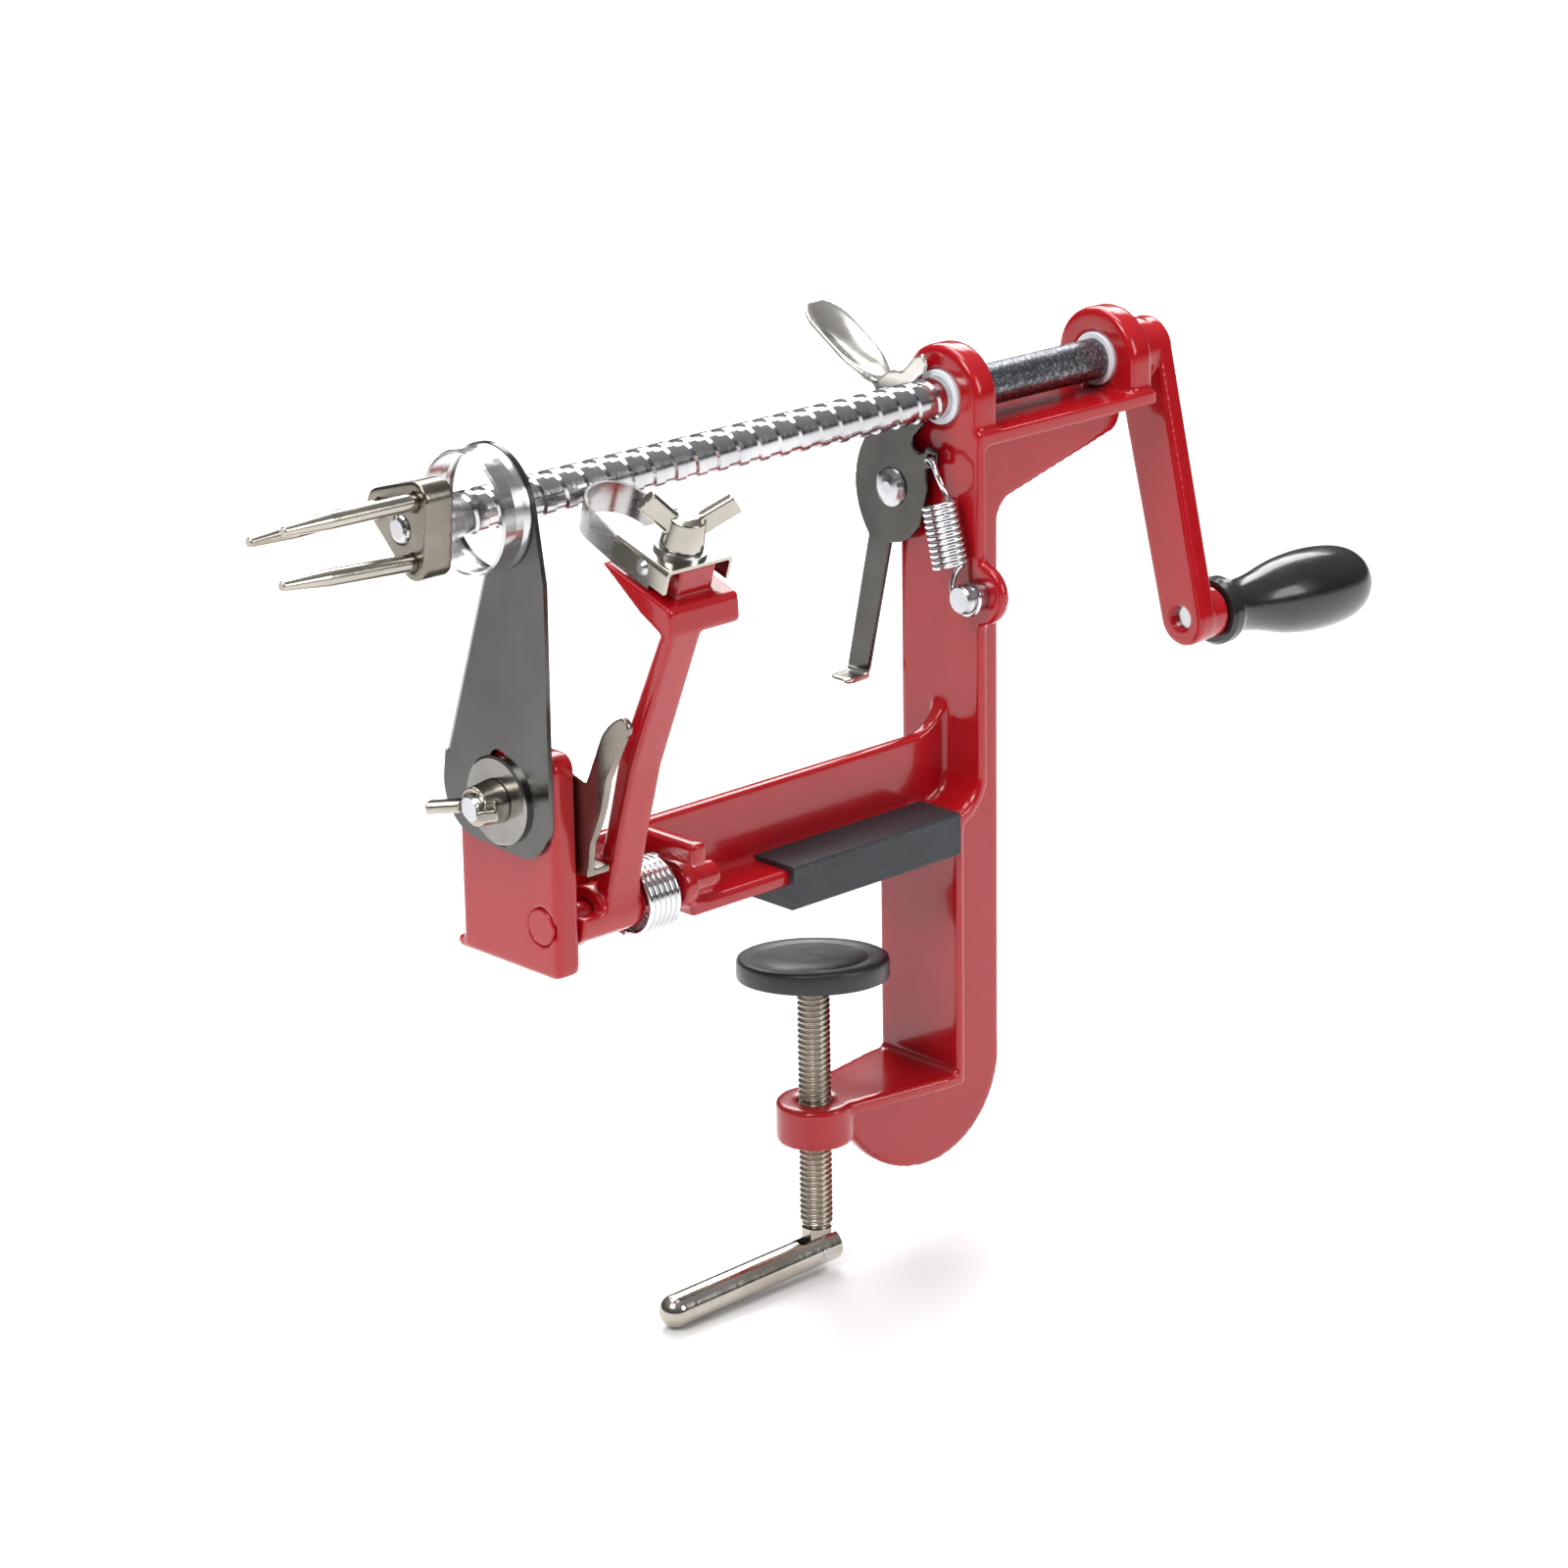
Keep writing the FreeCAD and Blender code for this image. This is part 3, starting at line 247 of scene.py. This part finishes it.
def lever_steel():
    """Nickel plate with a painted dark reflection on the flat of the lever and painted warm highlights on
    the bent ends.
    """
    g = Graph("lever_nickel")
    g.set(Metallic=1.0)
    cloud = g.noise(40, detail=5)
    tone = g.ranged(cloud, "Fac", 0.3, 0.7, 0.0, 1.0)
    # Painted dark reflection on the flat of the lever and painted warm highlights on the bent ends, not
    # the nickel's own colours.
    dark_reflection_plate = g.mix(tone.outputs[0], (0.070, 0.067, 0.063), (0.125, 0.118, 0.110))
    painted_highlight_ends = g.mix(tone.outputs[0], (0.72, 0.69, 0.64), (0.80, 0.77, 0.72))
    split = g.add("ShaderNodeSeparateXYZ")
    g.join(g.coords, "Object", split, "Vector")
    # Masks above and below in Z that put the painted highlights on the bent ends.
    above = g.ranged(split, "Z", 107.5 * MM, 111.0 * MM, 0.0, 1.0)
    below = g.ranged(split, "Z", 37.4 * MM, 36.2 * MM, 0.0, 1.0)
    highlight_ends_mask = g.add("ShaderNodeMath", operation="MAXIMUM")
    g.tree.links.new(above.outputs[0], highlight_ends_mask.inputs[0])
    g.tree.links.new(below.outputs[0], highlight_ends_mask.inputs[1])
    g.base(g.mix(highlight_ends_mask.outputs[0], dark_reflection_plate, painted_highlight_ends))
    smear = g.noise(120, stretch=(1, 1, 3), detail=6)
    gloss = g.ranged(smear, "Fac", 0.3, 0.72, 0.12, 0.26)
    g.join(gloss, "Result", g.shader, "Roughness")
    flow = g.noise(90, detail=2)
    grain = g.noise(1200, detail=3)
    g.bumps([(flow.outputs["Fac"], 0.10, 0.3), (grain.outputs["Fac"], 0.006, 0.5)])
    return g.material


def plastic(name, base, tint, rough, grain, depth, coat=0.0, fleck=0.0):
    """Moulded plastic or rubber with a fine moulded grain and slight scuffing."""
    g = Graph(name)
    g.set(Metallic=0.0, IOR=1.5, Coat_Weight=coat, Coat_Roughness=0.06)
    cloud = g.noise(50, detail=5)
    tone = g.ranged(cloud, "Fac", 0.3, 0.7, 0.0, 1.0)
    colour = g.mix(tone.outputs[0], base, tint)
    if fleck:
        dust = g.noise(1100, detail=2)
        flecks = g.ranged(dust, "Fac", 0.68, 0.76, 0.0, fleck)
        colour = g.mix(flecks.outputs[0], colour, (0.30, 0.30, 0.31))
    g.base(colour)
    scuff = g.noise(160, stretch=(1, 1, 3), detail=7)
    gloss = g.ranged(scuff, "Fac", 0.3, 0.75, rough[0], rough[1])
    g.join(gloss, "Result", g.shader, "Roughness")
    fine = g.noise(grain, detail=3)
    g.bumps([(fine.outputs["Fac"], depth, 0.5)])
    return g.material


looks = {
    "red_paint": red_enamel(),
    "rubber": plastic("pad_rubber", (0.016, 0.018, 0.022), (0.026, 0.029, 0.035), (0.45, 0.62),
                      1300, 0.03, fleck=0.25),
    "nylon": plastic("bush_nylon", (0.70, 0.75, 0.80), (0.82, 0.85, 0.88), (0.30, 0.45), 900, 0.01),
    "screw_steel": screw_steel(),
    "nickel": metal("nickel_plate", (0.40, 0.37, 0.32), (0.53, 0.50, 0.44), (0.12, 0.24),
                    grain=1400, grain_depth=0.008, pit_depth=0.01),
    "stainless": metal("stainless_strip", (0.42, 0.41, 0.40), (0.54, 0.53, 0.52), (0.18, 0.30),
                       stretch=(1, 1, 9), grain=500, grain_depth=0.01),
    "zinc": metal("bright_zinc", (0.50, 0.51, 0.53), (0.62, 0.62, 0.63), (0.14, 0.28),
                  grain=1100, grain_depth=0.01, pit_depth=0.008),
    "spring_wire": metal("spring_wire", (0.66, 0.66, 0.68), (0.78, 0.78, 0.79), (0.07, 0.15),
                         grain=1600, grain_depth=0.005),
    "grip_plastic": plastic("grip_black", (0.010, 0.010, 0.011), (0.017, 0.017, 0.018), (0.16, 0.30),
                            900, 0.008, coat=0.35),
    "foot_plastic": plastic("foot_black", (0.014, 0.015, 0.019), (0.024, 0.026, 0.031), (0.30, 0.46),
                            1100, 0.02, fleck=0.15),
}
look_of = {
    "pivot_pin": looks["red_paint"],
    "corer_washer": metal("washer_steel", (0.22, 0.21, 0.20), (0.34, 0.33, 0.31), (0.14, 0.26)),
    "corer_blade": corer_steel(),
    "catch_lever": lever_steel(),
    "fork_block": metal("block_nickel", (0.20, 0.18, 0.15), (0.32, 0.29, 0.25), (0.18, 0.32),
                        grain=1300, grain_depth=0.02, pit_depth=0.02),
    "arm_catch": metal("catch_nickel", (0.22, 0.19, 0.16), (0.36, 0.32, 0.28), (0.16, 0.30),
                       grain=900, grain_depth=0.01, pit_depth=0.015),
    "clamp_screw": metal("clamp_nickel", (0.42, 0.38, 0.31), (0.55, 0.50, 0.43), (0.18, 0.32),
                         grain=1200, grain_depth=0.01),
    "tommy_bar": metal("bar_nickel", (0.48, 0.44, 0.38), (0.62, 0.58, 0.52), (0.10, 0.22),
                       stretch=(8, 1, 1), grain=700, grain_depth=0.006),
}
slot_of = {s["node"]: s["material_slot"] for s in frame["record"]["subparts"]}


def dress(piece, look):
    piece.data.materials.clear()
    piece.data.materials.append(look)


for node_name, node in nodes.items():
    dress(node, look_of.get(node_name, looks[slot_of[node_name]]))


# ---------------------------------------------------------------- shapes
def link(name, mesh):
    piece = bpy.data.objects.new(name, mesh)
    scene.collection.objects.link(piece)
    return piece


def bake(piece):
    """Apply a piece's modifiers and shade it smooth."""
    bpy.context.view_layer.update()
    graph = bpy.context.evaluated_depsgraph_get()
    mesh = bpy.data.meshes.new_from_object(piece.evaluated_get(graph))
    piece.modifiers.clear()
    piece.data = mesh
    mesh.polygons.foreach_set("use_smooth", [True] * len(mesh.polygons))
    mesh.update()


def stand_for(piece, node, body):
    """The piece takes the place and the look of a CAD node."""
    dress(piece, look_of.get(node, looks[slot_of[node]]))
    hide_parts(node)
    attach(piece, body)


def softened(node, body, voxel, rounds, shape=None):
    """Copy of a CAD node whose edges are rounded like a casting or a tumbled stamping."""
    piece = link(node + "_finished", nodes[node].data.copy())
    remesh = piece.modifiers.new("skin", "REMESH")
    remesh.mode = "VOXEL"
    remesh.voxel_size = voxel * MM
    smooth = piece.modifiers.new("round", "SMOOTH")
    smooth.factor = 0.5
    smooth.iterations = rounds
    bake(piece)
    if shape:
        for vertex in piece.data.vertices:
            shape(vertex.co)
    keep_in_box(piece, node)
    stand_for(piece, node, body)
    return piece


def keep_in_box(piece, node):
    low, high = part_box(node)
    for vertex in piece.data.vertices:
        for axis in range(3):
            vertex.co[axis] = min(max(vertex.co[axis], low[axis]), high[axis])


def dish_thumb_rest(co):
    """Hollow the top of the lever's thumb rest like a spoon."""
    middle_x, middle_y = 43.2 * MM, 30.5 * MM
    half_width, half_length = 6.3 * MM, 12.0 * MM
    depth = 1.5 * MM
    if co.y < 17 * MM or co.z < 108 * MM:
        return
    across = (co.x - middle_x) / half_width
    lengthwise = (co.y - middle_y) / half_length
    reach = across * across + lengthwise * lengthwise
    if reach < 1.0:
        co.z -= depth * (1.0 - reach) ** 1.3


softened("frame_casting", "stand", 0.75, 4)
softened("peeler_arm", "arm", 0.45, 6)
softened("crank_arm", "screw", 0.45, 5)
softened("catch_lever", "lever", 0.34, 3, dish_thumb_rest)
softened("arm_catch", "catch", 0.34, 3)
softened("blade_wing_screw", "wing_screw", 0.24, 5)
softened("corer_wing_nut", "corer_nut", 0.24, 5)
softened("fork_block", "screw", 0.34, 4)


def lathe(name, profile, segments, axis_matrix):
    """Turned piece from (radius, height) points in millimetres, closed on its axis."""
    bm = bmesh.new()
    rings = []
    for radius, height in profile:
        if radius < 1e-6:
            rings.append([bm.verts.new((0, 0, height * MM))])
            continue
        ring = []
        for i in range(segments):
            angle = 2 * math.pi * i / segments
            ring.append(bm.verts.new((radius * MM * math.cos(angle), radius * MM * math.sin(angle),
                                      height * MM)))
        rings.append(ring)
    for a, b in zip(rings, rings[1:]):
        for i in range(segments):
            j = (i + 1) % segments
            corners = [a[i % len(a)], a[j % len(a)], b[j % len(b)], b[i % len(b)]]
            unique = []
            for corner in corners:
                if corner not in unique:
                    unique.append(corner)
            if len(unique) > 2:
                bm.faces.new(unique)
    bmesh.ops.recalc_face_normals(bm, faces=bm.faces)
    mesh = bpy.data.meshes.new(name)
    bm.to_mesh(mesh)
    bm.free()
    mesh.transform(axis_matrix)
    mesh.polygons.foreach_set("use_smooth", [True] * len(mesh.polygons))
    return link(name, mesh)


def clamp_foot():
    """Moulded foot: rounded rim, a shallow ring in its top and the ball's socket below."""
    profile = [
        (0, 3.30), (3.4, 3.30), (3.7, 3.26), (4.0, 3.30), (12.6, 3.32), (12.9, 3.16), (13.2, 3.14),
        (13.5, 3.32), (17.0, 3.40), (17.5, 3.34), (17.9, 3.10), (18.12, 2.7), (18.2, 2.2),
        (18.2, -1.2), (18.05, -1.6), (17.7, -1.8), (5.4, -1.8), (4.4, -1.8), (3.5, -1.75),
        (2.7, -0.9), (2.9, -0.4), (3.04, 0.0), (2.6, 1.6), (1.4, 2.7), (0, 3.05),
    ]
    tilt = Matrix.Rotation(math.radians(5.8), 4, Vector((-0.730, 0.683, 0.0)))
    place = Matrix.Translation((0, 0, -23.6 * MM)) @ tilt
    foot = lathe("clamp_foot_finished", profile, 120, place)
    keep_in_box(foot, "clamp_foot")
    stand_for(foot, "clamp_foot", "foot")


clamp_foot()


def clamp_screw():
    """Rolled thread of the clamp screw, with the CAD node's flattened end below it."""
    pitch = 1.411
    crest = 3.96
    root = 3.28
    low, high = -88.9, -27.05
    run_out = 1.4
    around = 48
    rows_per_turn = 12
    rows = int((high - low) / pitch * rows_per_turn)
    bm = bmesh.new()
    grid = []
    for j in range(rows + 1):
        z = low + (high - low) * j / rows
        ring = []
        for i in range(around):
            turn = i / around
            phase = (z / pitch - turn) % 1.0
            flank = abs(phase - 0.5) * 2.0
            depth = min(max((flank - 0.14) / 0.70, 0.0), 1.0)
            lead = min((z - low) / run_out, (high - z) / run_out, 1.0)
            radius = root + (crest - root) * depth * max(lead, 0.0)
            angle = 2 * math.pi * turn
            ring.append(bm.verts.new((radius * MM * math.cos(angle), radius * MM * math.sin(angle),
                                      z * MM)))
        grid.append(ring)
    for a, b in zip(grid, grid[1:]):
        for i in range(around):
            j = (i + 1) % around
            bm.faces.new((a[i], a[j], b[j], b[i]))
    bm.faces.new(list(reversed(grid[0])))
    mesh = bpy.data.meshes.new("clamp_thread")
    tang = bmesh.new()
    tang.from_mesh(nodes["clamp_screw"].data)
    above = [v for v in tang.verts if v.co.z > -88.7 * MM]
    bmesh.ops.delete(tang, geom=above, context="VERTS")
    scratch = bpy.data.meshes.new("tang")
    tang.to_mesh(scratch)
    tang.free()
    bm.from_mesh(scratch)
    bm.to_mesh(mesh)
    bm.free()
    bpy.data.meshes.remove(scratch)
    mesh.polygons.foreach_set("use_smooth", [True] * len(mesh.polygons))
    mesh.set_sharp_from_angle(angle=math.radians(50))
    stand_for(link("clamp_screw_finished", mesh), "clamp_screw", "clamp")


clamp_screw()


def flexing(node):
    """Copy of a spring that takes the CAD node's place and look; it stays where it is and follows no
    body.
    """
    spring = link(node + "_flexing", nodes[node].data.copy())
    dress(spring, looks[slot_of[node]])
    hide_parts(node)
    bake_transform(spring)


flexing("lever_spring")
flexing("arm_spring")


# ---------------------------------------------------------------- stage, light and camera
def soft_floor():
    bm = bmesh.new()
    bmesh.ops.create_grid(bm, x_segments=2, y_segments=2, size=9.0)
    mesh = bpy.data.meshes.new("floor")
    bm.to_mesh(mesh)
    bm.free()
    floor = link("floor", mesh)
    floor.location = (0, 0, cad_box[0][2] - 0.3 * MM)
    g = Graph("pale_floor")
    g.set(Metallic=0.0, Roughness=0.7)
    cloud = g.noise(3, detail=2)
    tone = g.ranged(cloud, "Fac", 0.3, 0.7, 0.0, 1.0)
    g.base(g.mix(tone.outputs[0], (0.86, 0.86, 0.86), (0.88, 0.88, 0.88)))
    dress(floor, g.material)


soft_floor()


def softbox(name, position, target, size, power, tall=None):
    light = bpy.data.lights.new(name, "AREA")
    light.shape = "RECTANGLE"
    light.size = size
    light.size_y = tall or size
    light.energy = power
    lamp = bpy.data.objects.new(name, light)
    scene.collection.objects.link(lamp)
    lamp.location = position
    aim = Vector(target) - Vector(position)
    lamp.rotation_euler = aim.to_track_quat("-Z", "Y").to_euler()


softbox("key", (-1.1, -0.3, 1.3), (0, 0, 0.05), 0.8, 18)
softbox("fill", (0.6, -1.5, 0.7), (0, 0, 0.05), 0.7, 8)
softbox("top", (0.1, 0.3, 1.8), (0, 0, 0.0), 1.3, 26)
softbox("back", (1.5, 1.6, 1.6), (1.5, 1.6, 0), 2.0, 75)

def studio_world():
    """Dark low down and pale overhead, so that plated metal keeps its contrast."""
    world = bpy.data.worlds.new("studio")
    scene.world = world
    world.use_nodes = True
    tree = world.node_tree
    tree.nodes.clear()
    sky = tree.nodes.new("ShaderNodeBackground")
    out = tree.nodes.new("ShaderNodeOutputWorld")
    where = tree.nodes.new("ShaderNodeTexCoord")
    split = tree.nodes.new("ShaderNodeSeparateXYZ")
    ramp = tree.nodes.new("ShaderNodeValToRGB")
    tree.links.new(where.outputs["Generated"], split.inputs[0])
    tree.links.new(split.outputs["Z"], ramp.inputs[0])
    tree.links.new(ramp.outputs[0], sky.inputs["Color"])
    tree.links.new(sky.outputs[0], out.inputs["Surface"])
    low, high = ramp.color_ramp.elements
    low.position = 0.0
    low.color = (0.035, 0.035, 0.037, 1)
    high.position = 0.95
    high.color = (0.55, 0.55, 0.56, 1)
    sky.inputs["Strength"].default_value = 0.75


studio_world()
scene.view_settings.view_transform = "Standard"


def photo_camera():
    """Camera in front of the fork, above the table, looking along and across the feed screw."""
    yaw, pitch, roll = math.radians(46.895), math.radians(18.31), math.radians(-0.930)
    forward = Vector((math.cos(yaw) * math.cos(pitch), math.sin(yaw) * math.cos(pitch), -math.sin(pitch)))
    right = forward.cross(Vector((0, 0, 1))).normalized()
    up = right.cross(forward)
    level = right * math.cos(roll) + up * math.sin(roll)
    above = up * math.cos(roll) - right * math.sin(roll)
    turn = Matrix((level, above, -forward)).transposed()
    lens = bpy.data.cameras.new("photo_camera")
    lens.sensor_width = 36.0
    lens.lens = 108.15
    lens.clip_start = 0.05
    lens.clip_end = 60.0
    camera = bpy.data.objects.new("photo_camera", lens)
    scene.collection.objects.link(camera)
    camera.matrix_world = Matrix.Translation((-0.7170, -0.7571, 0.3677)) @ turn.to_4x4()
    scene.camera = camera


photo_camera()
